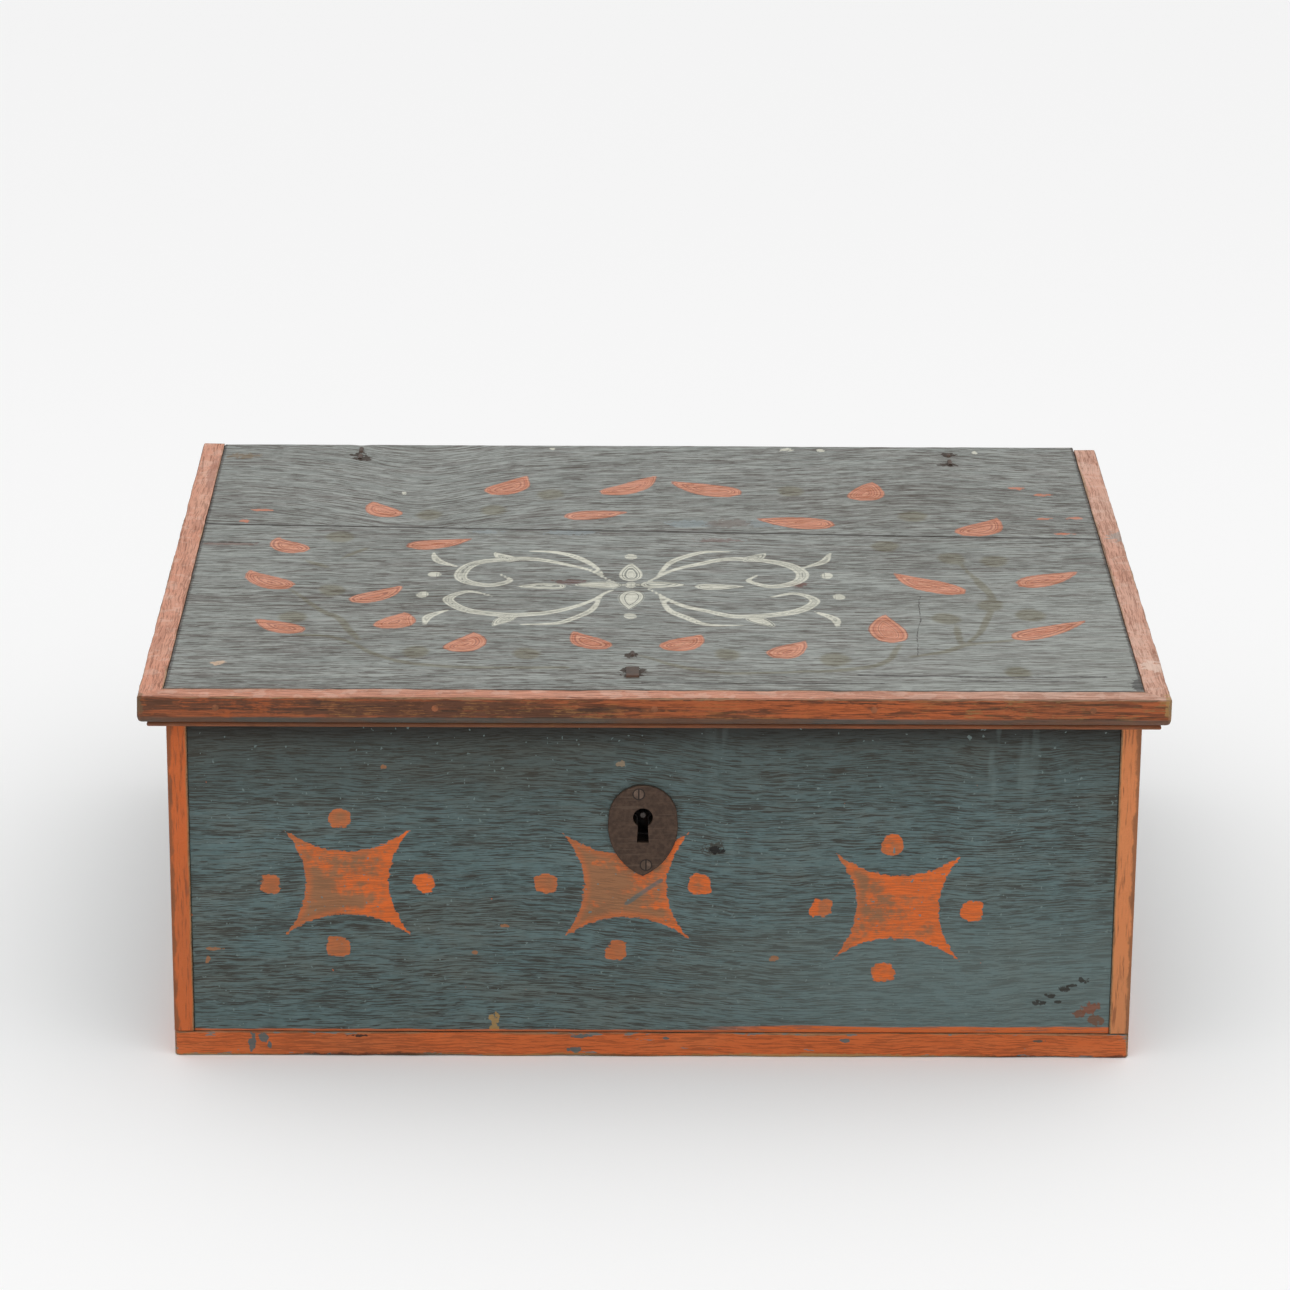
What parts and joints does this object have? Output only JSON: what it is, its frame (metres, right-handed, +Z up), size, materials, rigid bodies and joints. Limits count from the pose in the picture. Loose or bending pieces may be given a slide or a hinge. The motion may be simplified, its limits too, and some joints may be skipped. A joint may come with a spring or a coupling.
{
  "type": "painted wooden box",
  "caption": "Painted oak box with a flat hinged lid edged in mouldings, linked iron eye hinges, a drop-shaped escutcheon and an iron lock with a sliding bolt.",
  "frame": {"origin": "on the ground under the middle of the closed box, its overhanging lid counted", "axes": "+X to the right seen from the front, +Y to the back where the hinges are, +Z up"},
  "size_m": [0.5, 0.41, 0.1958],
  "materials": {
    "blue_painted_oak": "oak painted grey blue, worn to the brown grain",
    "grey_painted_oak": "oak painted pale grey blue, worn to the grain",
    "orange_painted_oak": "oak painted orange red, worn on the edges",
    "brown_iron": "hand-worked iron gone brown",
    "dark_iron": "hand-worked iron, dark from the fire"
  },
  "bodies": {
    "box": {"front_board": "blue_painted_oak", "back_board": "blue_painted_oak", "left_side_board": "blue_painted_oak", "right_side_board": "blue_painted_oak", "bottom_board_front": "orange_painted_oak", "bottom_board_rear": "orange_painted_oak", "corner_nails": "dark_iron", "bottom_nails": "dark_iron", "escutcheon": "brown_iron", "escutcheon_screws": "brown_iron", "lock_plate": "dark_iron", "lock_case": "dark_iron", "lock_case_rivets": "dark_iron", "lock_key_pin": "dark_iron", "lock_bolt_studs": "dark_iron", "lock_spring": "dark_iron", "lock_nails": "dark_iron", "hinge_staple_left": "dark_iron", "hinge_staple_right": "dark_iron"},
    "lid": {"lid_board_front": "grey_painted_oak", "lid_board_rear": "grey_painted_oak", "lid_moulding_front": "orange_painted_oak", "lid_moulding_left": "orange_painted_oak", "lid_moulding_right": "orange_painted_oak", "moulding_nails": "dark_iron", "hinge_eye_left": "brown_iron", "hinge_eye_right": "brown_iron", "lock_keeper": "brown_iron", "keeper_nail": "brown_iron"},
    "bolt": {"lock_bolt": "dark_iron"}
  },
  "joints": [
    {"name": "lid_hinge", "type": "hinge", "parent": "box", "child": "lid", "pos_m": [0, 0.1931, 0.182], "axis": [-1, 0, 0], "range_deg": [0, 100]},
    {"name": "bolt_slide", "type": "slide", "parent": "box", "child": "bolt", "axis": [1, 0, 0], "range_m": [0, 0.01]}
  ]
}
